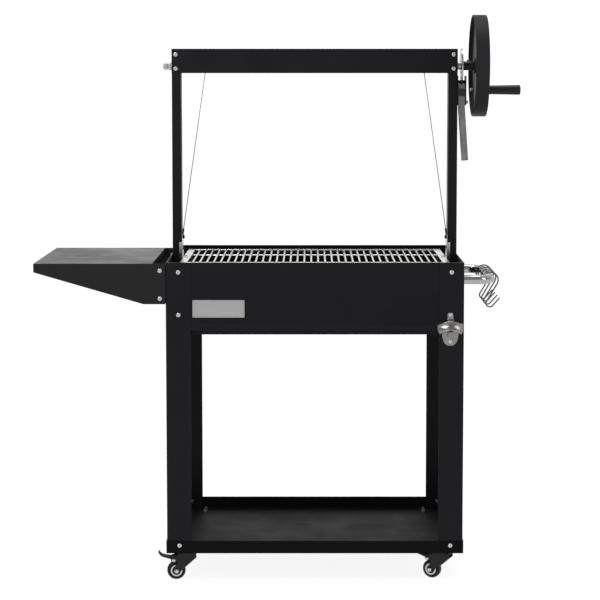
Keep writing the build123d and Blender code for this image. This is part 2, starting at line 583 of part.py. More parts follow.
def side_shelf():
    top = block(SHELF_OUT, SHELF_IN, SHELF_FRONT, SHELF_BACK, SHELF_TOP - SHEET, SHELF_TOP)
    lip = block(SHELF_OUT, SHELF_OUT + SHEET, SHELF_FRONT, SHELF_BACK, SHELF_TOP - SHELF_LIP, SHELF_TOP)
    inner = block(SHELF_IN - SHEET, SHELF_IN, SHELF_FRONT, SHELF_BACK, SHELF_TOP - SHELF_LIP, SHELF_TOP)
    body_end = -BODY_HALF_W - 0.5
    skirt = [
        (SHELF_OUT, SHELF_TOP),
        (body_end, SHELF_TOP),
        (body_end, SHELF_ROOT),
        (SHELF_BEND_X, SHELF_ROOT),
        (SHELF_OUT, SHELF_TOP - SHELF_LIP),
    ]
    shelf = top + lip + inner
    shelf += prism_y(skirt, SHELF_FRONT, SHELF_FRONT + SHEET)
    shelf += prism_y(skirt, SHELF_BACK - SHEET, SHELF_BACK)
    skirt_bolts = [(SHELF_BOLT_X, z) for z in SHELF_BOLT_Z]
    shelf -= holes_y(skirt_bolts, SHELF_FRONT) + holes_y(skirt_bolts, SHELF_BACK)
    corners = shelf.edges().filter_by(Axis.Z).group_by(Axis.X)[0]
    save("side_shelf", fillet(corners, 1.5))

    def bracket(skirt_y, wall_y0, wall_y1, wall_drills):
        plate = block(SHELF_PLATE_END, -BODY_HALF_W, skirt_y, skirt_y + SHEET, SHELF_ROOT + 3, SHELF_TOP - 5)
        wall = block(-BODY_HALF_W - SHEET, -BODY_HALF_W, wall_y0, wall_y1, SHELF_ROOT + 3, SHELF_TOP - 5)
        return plate + wall - holes_y(skirt_bolts, skirt_y) - wall_drills

    front = bracket(SHELF_FRONT + SHEET, SHELF_FRONT + SHEET, -242,
                    holes_x([(SHELF_BRACKET_FRONT_Y, z) for z in SHELF_BRACKET_BOLTS_Z], -BODY_HALF_W))
    rear = bracket(SHELF_BACK - 2 * SHEET, 176, SHELF_BACK - SHEET,
                   holes_x([(SHELF_BRACKET_REAR_Y, z) for z in SHELF_BRACKET_BOLTS_Z], -BODY_HALF_W))
    save("shelf_brackets", front, rear)

    fasteners = []
    for x, z in skirt_bolts:
        fasteners.append(bolt((x, SHELF_FRONT, z), (0, 1, 0), 11))
        fasteners.append(nut((x, SHELF_FRONT + 2 * SHEET, z), (0, 1, 0)))
        fasteners.append(bolt((x, SHELF_BACK, z), (0, -1, 0), 11))
        fasteners.append(nut((x, SHELF_BACK - 2 * SHEET, z), (0, -1, 0)))
    for y, sheets in ((SHELF_BRACKET_FRONT_Y, 3), (SHELF_BRACKET_REAR_Y, 2)):
        for z in SHELF_BRACKET_BOLTS_Z:
            fasteners.append(bolt((-BODY_HALF_W - SHEET, y, z), (1, 0, 0), sheets * SHEET + 7))
            fasteners.append(nut((-BODY_HALF_W + (sheets - 1) * SHEET, y, z), (1, 0, 0)))
    save("shelf_bolts", *fasteners)


# ---- hook rail ----------------------------------------------------------------------------
RAIL_WALL = 1.5
FLANGE_R = 24.0              # the round flange welded on each end of the rail
FLANGE_T = 2.5


def hook_rail():
    """A bent tube with a welded flange at each end, standing off the right side."""
    start_x = BODY_HALF_W + 1
    path = FilletPolyline(
        (start_x, -RAIL_Y, RAIL_Z), (RAIL_X, -RAIL_Y, RAIL_Z),
        (RAIL_X, RAIL_Y, RAIL_Z), (start_x, RAIL_Y, RAIL_Z), radius=RAIL_BEND)
    section = Plane(origin=path @ 0, z_dir=path % 0) * (Circle(RAIL_R) - Circle(RAIL_R - RAIL_WALL))
    rail = sweep(section, path)
    for y in (-RAIL_Y, RAIL_Y):
        flange = rod((BODY_HALF_W, y, RAIL_Z), (BODY_HALF_W + FLANGE_T, y, RAIL_Z), FLANGE_R)
        screws = [(y + step, RAIL_Z) for step in (-RAIL_SCREW_OFFSET, RAIL_SCREW_OFFSET)]
        flange -= holes_x(screws, BODY_HALF_W, RAIL_SCREW_HOLE_R)
        rail += flange
    save("hook_rail", rail)


def s_hook():
    """An S-hook that hangs on a bar along Y through the origin."""
    top_r, foot_r, shank, tip = 21.0, 10.0, 55.0, 27.0
    tip_turn = radians(36.0)
    top = Vector(2.4, 0, -5.5)
    lean = radians(-25.0)
    start = radians(205.0)
    heading = Vector(sin(lean), 0, -cos(lean))
    shank_top = top + Vector(cos(lean), 0, sin(lean)) * top_r
    shank_foot = shank_top + heading * shank
    foot = shank_foot + Vector(-heading.Z, 0, heading.X) * foot_r
    turn_out = Vector(sin(tip_turn), 0, cos(tip_turn))
    foot_end = foot + Vector(turn_out.Z, 0, -turn_out.X) * foot_r
    wire = Wire([
        ThreePointArc(top + Vector(cos(start), 0, sin(start)) * top_r, top + Vector(0, 0, top_r), shank_top),
        Line(shank_top, shank_foot),
        ThreePointArc(shank_foot, foot + (heading - turn_out).normalized() * foot_r, foot_end),
        Line(foot_end, foot_end + turn_out * tip),
    ])
    hook = sweep(Plane(origin=wire @ 0, z_dir=wire % 0) * Circle(HOOK_WIRE_R), wire)
    return Rot(0, HOOK_HANG, 0) * hook


def hooks():
    hook = s_hook()
    for number, y in enumerate(HOOK_Y, 1):
        save(f"s_hook_{number}", Pos(RAIL_X, y, RAIL_Z) * hook)


# ---- small fittings -----------------------------------------------------------------------
def bottle_opener():
    """A cast wall opener: a back plate, and a hollow hood whose lower edge arches over a tooth."""
    face = -BODY_HALF_D
    plate_t, hood_foot, hood_top = 3.5, OPENER_FOOT + 31, OPENER_TOP - 22
    plate = [
        (-9, 66), (-22, 52), (-22.5, 22), (-14, 4), (-6, -1), (6, -1), (14, 4), (22.5, 22), (22, 52),
        (9, 66), (8, 82), (4, 88), (-4, 88), (-8, 82),
    ]
    front = [
        (-9.5, 67), (-33, 55), (-34, 50), (-28, 31), (-14, 40), (0, 43.5), (14, 40), (28, 31), (34, 50),
        (33, 55), (9.5, 67),
    ]

    def on_leg(outline):
        return [(OPENER_X + x, OPENER_FOOT + 1 + z) for x, z in outline]

    def dome(foot_size, top_size, top_z):
        foot = Plane.XY.offset(hood_foot - 2) * Pos(OPENER_X, face) * Ellipse(*foot_size)
        return loft([foot, Plane.XY.offset(top_z) * Pos(OPENER_X, face) * Ellipse(*top_size)])

    hood = dome((38, OPENER_PROUD), (27, 12), hood_top + 2)
    hood &= eased_prism_y(on_leg(front), face - OPENER_PROUD, face, 2.0)
    hood -= dome((33, OPENER_PROUD - 5), (18, 7), hood_top - 6)
    tooth = prism_x([(face, OPENER_FOOT + 24), (face - 13, OPENER_FOOT + 31), (face - 13, OPENER_FOOT + 35),
                     (face, OPENER_FOOT + 40)], OPENER_X - 8, OPENER_X + 8)
    collar = block(OPENER_X - 9.5, OPENER_X + 9.5, face - 8, face, hood_top - 2, hood_top + 4)
    body = eased_prism_y(on_leg(plate), face - plate_t, face, 2.5) + hood + tooth + collar
    save("bottle_opener", body - holes_y([(OPENER_X, z) for z in OPENER_SCREWS_Z], face, 2.6, 5.0))
    screws = [bolt((OPENER_X, face - plate_t, z), (0, 1, 0), 16, 5.0, 2.8, 2.5) for z in OPENER_SCREWS_Z]
    save("opener_screws", *screws)


PLATE_CORNERS = ((-320.0, 707.0), (-184.0, 753.0))
PLATE_BORDER = 3.0


def nameplate():
    """A blank pressed plate with a raised border."""
    (x0, z0), (x1, z1) = PLATE_CORNERS
    face, edge = -BODY_HALF_D + SHEET, PLATE_BORDER
    plate = block(x0, x1, face - 2.2, face, z0, z1)
    plate = fillet(plate.edges().filter_by(Axis.Y), 2.5)
    plate -= block(x0 + edge, x1 - edge, face - 3, face - 1.6, z0 + edge, z1 - edge)
    save("nameplate", plate)


def frame_bolts():
    """Screws and nuts of the legs, the posts, the beam and the hook rail."""
    pieces = []
    places = [(side * LEG_BOLT_X, z) for side in (-1, 1) for z in LEG_BOLT_Z]
    opener_hole = places[3]
    nut_seat = BODY_HALF_D - SHEET - PANEL
    for x, z in places:
        for end in (-1, 1):
            if end < 0 and (x, z) == opener_hole:
                continue
            pieces.append(bolt((x, end * BODY_HALF_D, z), (0, -end, 0), SHEET + PANEL + 8))
            pieces.append(nut((x, end * nut_seat, z), (0, -end, 0)))
    for side in (-1, 1):
        for z in BEAM_BOLT_Z:
            for end in (-1, 1):
                seat = (side * BEAM_BOLT_X, end * (POST_HALF_D + SHEET), z)
                pieces.append(bolt(seat, (0, -end, 0), 9.0))
        for z in POST_BOLT_Z:
            seat = (side * BODY_HALF_W, 0, z)
            pieces.append(bolt(seat, (-side, 0, 0), 14.0, HEAD_R, 2.2))
            pieces.append(nut((side * (POST_OUT - SHEET), 0, z), (-side, 0, 0)))
    for y in (-RAIL_Y, RAIL_Y):
        for step in (-RAIL_SCREW_OFFSET, RAIL_SCREW_OFFSET):
            pieces.append(bolt((BODY_HALF_W + FLANGE_T, y + step, RAIL_Z), (-1, 0, 0), 12.0, 4.0, 2.2, 2.0))
    save("frame_bolts", *pieces)


# ---- casters ------------------------------------------------------------------------------
def caster_bolt_places():
    return [
        (side * CASTER_X + dx, end * CASTER_Y + dy)
        for side in (-1, 1) for end in (-1, 1)
        for dx in (-CASTER_HOLE_X, CASTER_HOLE_X) for dy in (-CASTER_HOLE_Y, CASTER_HOLE_Y)
    ]


def tray_bolts():
    """Screws and nuts of the lower tray: four through the legs, four through each caster plate."""
    pieces = []
    for side in (-1, 1):
        for end in (-1, 1):
            x = side * LEG_BOLT_X
            pieces.append(bolt((x, end * (BODY_HALF_D + SHEET), TRAY_BOLT_Z), (0, -end, 0), 2 * SHEET + 8))
            pieces.append(nut((x, end * (BODY_HALF_D - SHEET), TRAY_BOLT_Z), (0, -end, 0)))
    for x, y in caster_bolt_places():
        pieces.append(bolt((x, y, TRAY_BOTTOM - PLATE_T), (0, 0, 1), SHEET + 10.5, 5.5, 4.5))
        pieces.append(nut((x, y, TRAY_FLOOR), (0, 0, 1)))
    save("tray_bolts", *pieces)


PLATE_X = 33.0               # half sizes of a caster's top plate
PLATE_Y = 28.0
PLATE_T = 2.5
RACE_R = 19.5
RACE_BOTTOM = 73.0
KINGPIN_R = 4.0
CROWN_BOTTOM = 69.0
FORK_INNER = 13.7            # inner and outer faces of the fork's cheeks
FORK_OUTER = 15.7
HEAD_PROUD = 2.5             # how far the axle's heads stand proud of the cheeks


def disc_z(radius, z0, z1):
    """A round plate about the kingpin's axis."""
    return extrude(Plane.XY.offset(z0) * Circle(radius), z1 - z0)


def caster_plate():
    """A top plate with the upper ball race and the kingpin that holds the fork."""
    plate_bottom = TRAY_BOTTOM - PLATE_T
    plate = block(-PLATE_X, PLATE_X, -PLATE_Y, PLATE_Y, plate_bottom, TRAY_BOTTOM)
    plate = fillet(plate.edges().filter_by(Axis.Z), 5.0)
    drills = [
        rod((dx, dy, TRAY_BOTTOM - 5), (dx, dy, TRAY_BOTTOM + 2), HOLE_R)
        for dx in (-CASTER_HOLE_X, CASTER_HOLE_X) for dy in (-CASTER_HOLE_Y, CASTER_HOLE_Y)
    ]
    race = disc_z(RACE_R, RACE_BOTTOM, plate_bottom + 0.5)
    kingpin = disc_z(KINGPIN_R, CROWN_BOTTOM - 3, RACE_BOTTOM + 3)
    kingpin += disc_z(7.0, CROWN_BOTTOM - 4, CROWN_BOTTOM - 0.6)
    return plate + race + kingpin - drills


def caster_fork(braked):
    """The swivelling fork, its axle and, on a braked caster, the ears and pin of the pedal."""
    axle_z = CASTER_WHEEL_R
    inner, outer = FORK_INNER, FORK_OUTER
    crown = disc_z(RACE_R, CROWN_BOTTOM, RACE_BOTTOM - 0.3)
    crown += block(-24, 24, -outer, outer, CROWN_BOTTOM, CROWN_BOTTOM + 2.5)
    profile = [(-24, 71.5), (24, 71.5), (25, 50), (CASTER_TRAIL + 7.5, 29), (CASTER_TRAIL, 16.5),
               (CASTER_TRAIL - 8, 21), (-24, 60)]
    side = make_face(Polyline(*profile, close=True))
    side = fillet(side.vertices().sort_by(Axis.Y)[:3], 4.0)
    if braked:
        ear = make_face(Polyline((20, 68), (40, 63), (44, 58), (43, 49.5), (30, 48), (20, 50), close=True))
        side += fillet(ear.vertices().sort_by(Axis.X)[-2:], 2.0)
    cheek = extrude(Plane.XZ.offset(inner) * side, outer - inner, dir=(0, -1, 0))
    fork = crown + cheek + mirror(cheek, Plane.XZ)
    fork -= disc_z(KINGPIN_R + RUNNING, CROWN_BOTTOM - 9, RACE_BOTTOM + 7)
    reach = outer + HEAD_PROUD
    fork += rod((CASTER_TRAIL, -reach, axle_z), (CASTER_TRAIL, reach, axle_z), CASTER_AXLE_R)
    for y in (-reach, outer):
        fork += rod((CASTER_TRAIL, y, axle_z), (CASTER_TRAIL, y + HEAD_PROUD, axle_z), HEAD_R)
    if braked:
        x, z = PEDAL_PIVOT
        pin_head, pin_head_r = 2.0, 4.2
        fork += rod((x, -outer - pin_head, z), (x, outer + pin_head, z), PEDAL_PIN_R)
        for y in (-outer - pin_head, outer):
            fork += rod((x, y, z), (x, y + pin_head, z), pin_head_r)
    return fork


def caster_wheel():
    """A moulded wheel: crowned tread, a ring groove in each face and a boss at the bore."""
    half, groove_out, groove_in, hub_r = 11.0, 17.0, 11.0, 8.0
    wheel = Rot(90, 0, 0) * Cylinder(CASTER_WHEEL_R, 2 * half)
    wheel = fillet(wheel.edges().filter_by(GeomType.CIRCLE), 5.0)
    groove = Rot(90, 0, 0) * (Cylinder(groove_out, 5) - Cylinder(groove_in, 5))
    wheel -= [Pos(0, half, 0) * groove, Pos(0, -half, 0) * groove]
    wheel += Rot(90, 0, 0) * Cylinder(hub_r, 2 * FORK_INNER - 0.8)
    wheel -= Rot(90, 0, 0) * Cylinder(CASTER_AXLE_R + RUNNING, 40)
    return Pos(CASTER_TRAIL, 0, CASTER_WHEEL_R) * wheel


def caster_pedal():
    """The brake pedal, turning on the pin between the fork's ears."""
    profile = [
        (30.5, 60.5), (31.5, 57), (34, 51.5), (39, 51.2), (42, 55), (54, 59), (67, 63), (73, 68), (77.5, 75),
        (75.0, 76.3), (70, 70), (64, 66), (52, 63.5),
    ]
    arm = prism_y(profile, -12.5, 12.5)
    x, z = PEDAL_PIVOT
    return arm - rod((x, -20, z), (x, 20, z), PEDAL_PIN_R + RUNNING)


def casters():
    plate = caster_plate()
    wheel = caster_wheel()
    forks = {True: caster_fork(True), False: caster_fork(False)}
    plates = []
    for name, (side, end, heading) in CASTERS.items():
        at = Pos(side * CASTER_X, end * CASTER_Y, 0)
        turned = at * Rot(0, 0, heading)
        plates.append(at * plate)
        braked = end < 0
        save(f"caster_fork_{name}", turned * forks[braked])
        save(f"caster_wheel_{name}", turned * wheel)
        if braked:
            save(f"caster_pedal_{name}", turned * caster_pedal())
    save("caster_plates", *plates)


def main():
    os.makedirs("parts", exist_ok=True)
    legs()
    panels()
    firebox()
    lower_tray()
    posts_and_beam()
    winch()
    handwheel()
    brake()
    right_rope = rope()
    save("right_lift_rope", right_rope)
    save("left_lift_rope", left_of(right_rope))
    cooking_grate()
    side_shelf()
    hook_rail()
    hooks()
    bottle_opener()
    nameplate()
    frame_bolts()
    tray_bolts()
    casters()


main()
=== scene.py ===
"""Looks for the charcoal grill cart: procedural materials, fine pieces, light and camera."""
import json
import math

import bmesh
import bpy
from mathutils import Matrix, Vector


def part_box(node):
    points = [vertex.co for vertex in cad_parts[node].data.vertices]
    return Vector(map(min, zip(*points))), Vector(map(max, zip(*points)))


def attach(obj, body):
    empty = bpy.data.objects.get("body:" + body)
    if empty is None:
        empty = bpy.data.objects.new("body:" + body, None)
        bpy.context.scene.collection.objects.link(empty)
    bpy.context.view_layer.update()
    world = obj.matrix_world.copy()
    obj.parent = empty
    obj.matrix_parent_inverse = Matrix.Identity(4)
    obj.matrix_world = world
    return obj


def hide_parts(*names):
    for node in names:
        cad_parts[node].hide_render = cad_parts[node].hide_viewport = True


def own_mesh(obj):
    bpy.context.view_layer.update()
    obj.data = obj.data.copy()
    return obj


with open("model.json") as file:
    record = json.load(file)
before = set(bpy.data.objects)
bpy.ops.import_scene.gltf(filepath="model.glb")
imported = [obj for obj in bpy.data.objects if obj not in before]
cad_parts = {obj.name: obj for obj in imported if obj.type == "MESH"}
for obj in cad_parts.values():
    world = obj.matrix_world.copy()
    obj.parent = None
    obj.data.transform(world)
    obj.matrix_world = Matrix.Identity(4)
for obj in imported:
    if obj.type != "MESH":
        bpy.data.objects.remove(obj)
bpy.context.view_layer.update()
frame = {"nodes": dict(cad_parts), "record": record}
NODES = frame["nodes"]
JOINTS = {joint["name"]: joint for joint in frame["record"]["behaviour"]["joints"]}

MM = 0.001
NOISE_BAND = (0.3, 0.7)      # the part of a noise texture's output that is spread over the full range
BEVEL_FROM = math.radians(40)


FINE_BLOTCH = (60, 60, 60)


def corners(node):
    """The low and high corners of a node's box."""
    return [Vector(corner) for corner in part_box(node)]


# ---- materials ----------------------------------------------------------------------------
def shader(name, colour, roughness, metallic=0.0, specular=0.5, fade=0.25, blotch=(9.0, 9.0, 9.0),
           rough_spread=0.08, grain=600.0, grain_depth=0.00004, stretch=(1.0, 1.0, 1.0)):
    """A principled surface: broad colour blotches, uneven gloss and a fine grain in relief.

    fade is how much darker the dark blotches are, and stretch draws the grain out along an axis.
    """
    material = bpy.data.materials.new(name)
    material.use_nodes = True
    nodes, links = material.node_tree.nodes, material.node_tree.links
    surface = nodes["Principled BSDF"]
    surface.inputs["Metallic"].default_value = metallic
    surface.inputs["Specular IOR Level"].default_value = specular

    place = nodes.new("ShaderNodeTexCoord")
    spread = nodes.new("ShaderNodeMapping")
    spread.inputs["Scale"].default_value = blotch
    links.new(place.outputs["Object"], spread.inputs["Vector"])
    broad = nodes.new("ShaderNodeTexNoise")
    broad.inputs["Scale"].default_value = 1.0
    broad.inputs["Detail"].default_value = 6.0
    broad.inputs["Roughness"].default_value = 0.6
    links.new(spread.outputs["Vector"], broad.inputs["Vector"])
    ramp = nodes.new("ShaderNodeValToRGB")
    ramp.color_ramp.elements[0].position, ramp.color_ramp.elements[1].position = NOISE_BAND
    ramp.color_ramp.elements[0].color = (*[channel * (1 - fade) for channel in colour], 1)
    ramp.color_ramp.elements[1].color = (*colour, 1)
    links.new(broad.outputs["Fac"], ramp.inputs["Fac"])
    links.new(ramp.outputs["Color"], surface.inputs["Base Color"])
    gloss = nodes.new("ShaderNodeMapRange")
    gloss.inputs["From Min"].default_value, gloss.inputs["From Max"].default_value = NOISE_BAND
    gloss.inputs["To Min"].default_value = max(0.03, roughness - rough_spread)
    gloss.inputs["To Max"].default_value = min(1.0, roughness + rough_spread)
    links.new(broad.outputs["Fac"], gloss.inputs["Value"])
    links.new(gloss.outputs["Result"], surface.inputs["Roughness"])

    draw = nodes.new("ShaderNodeMapping")
    draw.inputs["Scale"].default_value = [grain * share for share in stretch]
    links.new(place.outputs["Object"], draw.inputs["Vector"])
    fine = nodes.new("ShaderNodeTexNoise")
    fine.inputs["Scale"].default_value = 1.0
    fine.inputs["Detail"].default_value = 3.0
    links.new(draw.outputs["Vector"], fine.inputs["Vector"])
    relief = nodes.new("ShaderNodeBump")
    relief.inputs["Strength"].default_value = 0.5
    relief.inputs["Distance"].default_value = grain_depth
    links.new(fine.outputs["Fac"], relief.inputs["Height"])
    links.new(relief.outputs["Normal"], surface.inputs["Normal"])
    return material


POWDER = shader("powder coat", (0.0042, 0.0040, 0.0056), 0.42, specular=0.14, fade=0.15, grain=520)
SHELF = shader("shelf coat", (0.0075, 0.0064, 0.0076), 0.4, specular=0.2, fade=0.1, grain=520)
TRAY = shader("tray coat", (0.0032, 0.0032, 0.0034), 0.54, specular=0.055, fade=0.08, grain=420)
ENAMEL = shader("handwheel enamel", (0.0165, 0.0165, 0.018), 0.46, specular=0.05, fade=0.1, grain=400)
OXIDE = shader("black oxide", (0.012, 0.012, 0.012), 0.38, metallic=0.3, fade=0.35, blotch=FINE_BLOTCH,
               grain=900)
STAINLESS = shader("stainless rod", (0.56, 0.552, 0.535), 0.24, metallic=1.0, fade=0.12, blotch=(30, 8, 30),
                   grain=300, grain_depth=0.00002, stretch=(6.0, 0.3, 6.0))
POLISHED = shader("polished tube", (0.38, 0.375, 0.37), 0.12, metallic=1.0, fade=0.05, blotch=(20, 12, 20),
                  rough_spread=0.04, grain=500, grain_depth=0.000006, stretch=(4.0, 0.2, 4.0))
WIRE = shader("hook wire", (0.16, 0.158, 0.155), 0.2, metallic=1.0, fade=0.15, blotch=(50, 50, 50),
              grain=900, grain_depth=0.00001)
ZINC = shader("zinc plate", (0.55, 0.545, 0.53), 0.27, metallic=1.0, fade=0.1, blotch=(160, 160, 160),
              grain=1400, grain_depth=0.00001)
GALVANISED = shader("galvanised sheet", (0.25, 0.25, 0.255), 0.42, metallic=0.9, fade=0.4,
                    blotch=(140, 140, 35), rough_spread=0.12, grain=260)
TURNED = shader("turned steel", (0.36, 0.357, 0.35), 0.27, metallic=1.0, fade=0.1, blotch=FINE_BLOTCH,
                grain=1800, grain_depth=0.00001)
CAST = shader("cast iron", (0.02, 0.0195, 0.019), 0.72, specular=0.35, fade=0.5, blotch=(25, 25, 25),
              grain=260, grain_depth=0.0004)
PLATE = shader("brushed plate", (0.4, 0.4, 0.397), 0.34, metallic=0.9, fade=0.06, blotch=(4, 40, 40),
               grain=260, grain_depth=0.00002, stretch=(0.15, 8.0, 8.0))
NICKEL = shader("satin nickel", (0.3, 0.294, 0.285), 0.26, metallic=1.0, fade=0.35, blotch=(70, 70, 70),
                grain=420, grain_depth=0.00012)
ROPE = shader("rope strand", (0.34, 0.34, 0.335), 0.34, metallic=0.95, fade=0.45, blotch=(90, 90, 260),
              grain=1800)
PLASTIC = shader("grip plastic", (0.0085, 0.0085, 0.0095), 0.46, specular=0.25, fade=0.1, grain=1100,
                 grain_depth=0.00008)
CASTER = shader("caster steel", (0.0065, 0.0065, 0.007), 0.38, metallic=0.1, specular=0.3, fade=0.25,
                blotch=FINE_BLOTCH, grain=900)
NYLON = shader("wheel nylon", (0.005, 0.005, 0.0055), 0.36, specular=0.22, fade=0.15, blotch=FINE_BLOTCH,
               grain=700)
BRONZE = shader("bush bronze", (0.45, 0.3, 0.13), 0.4, metallic=1.0, fade=0.3, blotch=(80, 80, 80), grain=900)

FINISH = {
    "powder_black": POWDER, "shelf_black": SHELF, "tray_black": TRAY, "handwheel_black": ENAMEL,
    "grate_steel": STAINLESS, "stainless_tube": POLISHED, "hook_wire": WIRE, "zinc_screw": ZINC,
    "galvanised": GALVANISED, "brake_steel": TURNED, "cast_black": CAST, "plate_metal": PLATE,
    "opener_metal": NICKEL, "rope_steel": ROPE, "black_fitting": OXIDE, "grip_plastic": PLASTIC,
    "caster_black": CASTER, "wheel_nylon": NYLON, "bush_bronze": BRONZE,
}
SLOT_OF = {part["node"]: part["material_slot"] for part in frame["record"]["subparts"]}
BODY_OF = {node: body for body, kept in frame["record"]["behaviour"]["bodies"].items() for node in kept}

for node_name, node in NODES.items():
    node.data.materials.clear()
    node.data.materials.append(FINISH[SLOT_OF[node_name]])


# ---- mesh helpers -------------------------------------------------------------------------
def add(name, mesh, body, material_slot, *replaced):
    """Puts a finished mesh on a body and hides the CAD parts that it stands in for."""
    piece = bpy.data.objects.new(name, mesh)
    bpy.context.scene.collection.objects.link(piece)
    if not mesh.materials:
        mesh.materials.append(FINISH[material_slot])
    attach(piece, body)
    if replaced:
        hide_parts(*replaced)
    return piece


def to_mesh(name, bm, smooth_below=32.0):
    """A bmesh made into a mesh, smooth except at edges sharper than smooth_below degrees."""
    bmesh.ops.recalc_face_normals(bm, faces=bm.faces)
    mesh = bpy.data.meshes.new(name)
    bm.to_mesh(mesh)
    bm.free()
    mesh.shade_smooth()
    mesh.set_sharp_from_angle(angle=math.radians(smooth_below))
    return mesh


def rounded(piece, width, segments, clamp=True):
    edges = piece.modifiers.new("rounded edges", "BEVEL")
    edges.width = width
    edges.segments = segments
    edges.limit_method = "ANGLE"
    edges.angle_limit = BEVEL_FROM
    edges.use_clamp_overlap = clamp
    edges.harden_normals = True


def soften(node, width):
    """The CAD node's shape with its folded and cut edges rounded over."""
    bm = bmesh.new()
    bm.from_mesh(NODES[node].data)
    bmesh.ops.remove_doubles(bm, verts=bm.verts, dist=1e-6)
    bmesh.ops.dissolve_limit(bm, angle_limit=math.radians(0.6), verts=bm.verts, edges=bm.edges)
    mesh = to_mesh(node + " rounded", bm)
    rounded(add(node + "_rounded", mesh, BODY_OF[node], SLOT_OF[node], node), width, 2, clamp=False)


def ring_of(bm, centre, across, up, radius, count):
    """A ring of vertices in the plane of across and up."""
    return [
        bm.verts.new(centre + radius * (math.cos(turn) * across + math.sin(turn) * up))
        for turn in (2 * math.pi * step / count for step in range(count))
    ]


def bridge(bm, first, second, material_index=0):
    count = len(first)
    for i in range(count):
        j = (i + 1) % count
        face = bm.faces.new((first[i], first[j], second[j], second[i]))
        face.material_index = material_index


def square_to(axis):
    """Two unit vectors square to an axis and to each other."""
    across = axis.cross(Vector((0, 0, 1)) if abs(axis.z) < 0.9 else Vector((1, 0, 0))).normalized()
    return across, axis.cross(across).normalized()


def lathe(bm, origin, axis, profile, count=96, closed=False, bands=()):
    """Turns a profile of (along, radius) points about an axis; a closed profile is a ring's section.

    bands gives the material index of each stretch of the profile, and the rest is material 0.
    """
    origin, axis = Vector(origin), Vector(axis).normalized()
    across, up = square_to(axis)
    rings = [
        ring_of(bm, origin + axis * along, across, up, max(radius, 1e-6), count) for along, radius in profile
    ]
    pairs = list(zip(rings, rings[1:]))
    if closed:
        pairs.append((rings[-1], rings[0]))
    for number, (first, second) in enumerate(pairs):
        bridge(bm, first, second, bands[number] if number < len(bands) else 0)
    if not closed:
        bm.faces.new(rings[0])
        bm.faces.new(list(reversed(rings[-1])))


def tube(bm, points, radius, count=12, dome=True):
    """A round bar along a line of points, with domed ends."""
    points = [Vector(point) for point in points]
    heading = (points[1] - points[0]).normalized()
    across, up = square_to(heading)
    rings = []

    def end_rings(centre, outward, steps):
        for step in steps:
            tip = math.radians(step)
            rings.append(ring_of(bm, centre + outward * radius * math.sin(tip), across, up,
                                 radius * math.cos(tip), count))

    if dome:
        end_rings(points[0], -heading, (80, 55, 28))
    for i, point in enumerate(points):
        before = points[max(i - 1, 0)]
        after = points[min(i + 1, len(points) - 1)]
        turned = (after - before).normalized()
        swing = heading.rotation_difference(turned)
        across, up = swing @ across, swing @ up
        heading = turned
        rings.append(ring_of(bm, point, across, up, radius, count))
    if dome:
        end_rings(points[-1], heading, (28, 55, 80))
    for first, second in zip(rings, rings[1:]):
        bridge(bm, first, second)
    bm.faces.new(rings[0])
    bm.faces.new(list(reversed(rings[-1])))


def blob(bm, centre, size):
    """A small weld bead, flattened to size."""
    place = Matrix.Translation(centre) @ Matrix.Diagonal((*size, 1))
    bmesh.ops.create_icosphere(bm, subdivisions=2, radius=1.0, matrix=place)


def arc(centre, radius, start, end, steps, y):
    """Points on an arc in the X-Z plane, in degrees from +X towards +Z."""
    turns = [math.radians(start + (end - start) * step / steps) for step in range(steps + 1)]
    return [Vector((centre[0] + radius * math.cos(t), y, centre[1] + radius * math.sin(t))) for t in turns]


# ---- sheet metal, posts and fittings with rounded edges -----------------------------------
SHEETS = [
    "leg_front_left", "leg_front_right", "leg_rear_left", "leg_rear_right", "front_panel", "rear_panel",
    "left_side_panel", "right_side_panel", "lower_tray", "left_post", "right_post", "top_beam", "side_shelf",
    "shelf_brackets", "left_hanger", "right_hanger", "brake_bracket", "firebox_tray",
]
for sheet_node in SHEETS:
    soften(sheet_node, 0.6 * MM)
for fitting_node in ("brake_lever", "brake_cam", "grate_rails", "brake_disc", "rope_ends", "nameplate"):
    soften(fitting_node, 0.35 * MM)
for fork_node in (name for name in NODES if name.startswith(("caster_fork", "caster_pedal"))):
    soften(fork_node, 0.4 * MM)


# ---- places taken from the frame ----------------------------------------------------------
def joint_at(name):
    return Vector(JOINTS[name]["pos_m"])


def joint_axis(name):
    return Vector(JOINTS[name]["axis"]).normalized()


BODY_MID = (corners("leg_front_left")[0] + corners("leg_rear_right")[1]) / 2
SHAFT = joint_at("handwheel_turn")
ALONG_X = Vector((1, 0, 0))


# ---- wire ropes ---------------------------------------------------------------------------
STRANDS = 6
LAY = 18 * MM                # length of one full twist of the strands
STEPS_PER_LAY = 10
STRAND_OVERLAP = 1.06        # strands are drawn a little thick, so that they touch
WOUND_TURNS = 3
TURN_PITCH = 2.05            # rope radii from one wound turn to the next


def twisted(bm, path, radius):
    """Six strands laid round a path of points, as in a wire rope."""
    lengths = [0.0]
    for first, second in zip(path, path[1:]):
        lengths.append(lengths[-1] + (second - first).length)
    strand_r = radius / 3
    frames = []
    heading = (path[1] - path[0]).normalized()
    across, up = square_to(heading)
    for i, point in enumerate(path):
        turned = (path[min(i + 1, len(path) - 1)] - path[max(i - 1, 0)]).normalized()
        swing = heading.rotation_difference(turned)
        across, up, heading = swing @ across, swing @ up, turned
        frames.append((point, across.copy(), up.copy()))
    for strand in range(STRANDS):
        line = []
        for (point, across, up), run in zip(frames, lengths):
            turn = 2 * math.pi * (run / LAY + strand / STRANDS)
            line.append(point + (radius - strand_r) * (math.cos(turn) * across + math.sin(turn) * up))
        tube(bm, line, strand_r * STRAND_OVERLAP, 7)


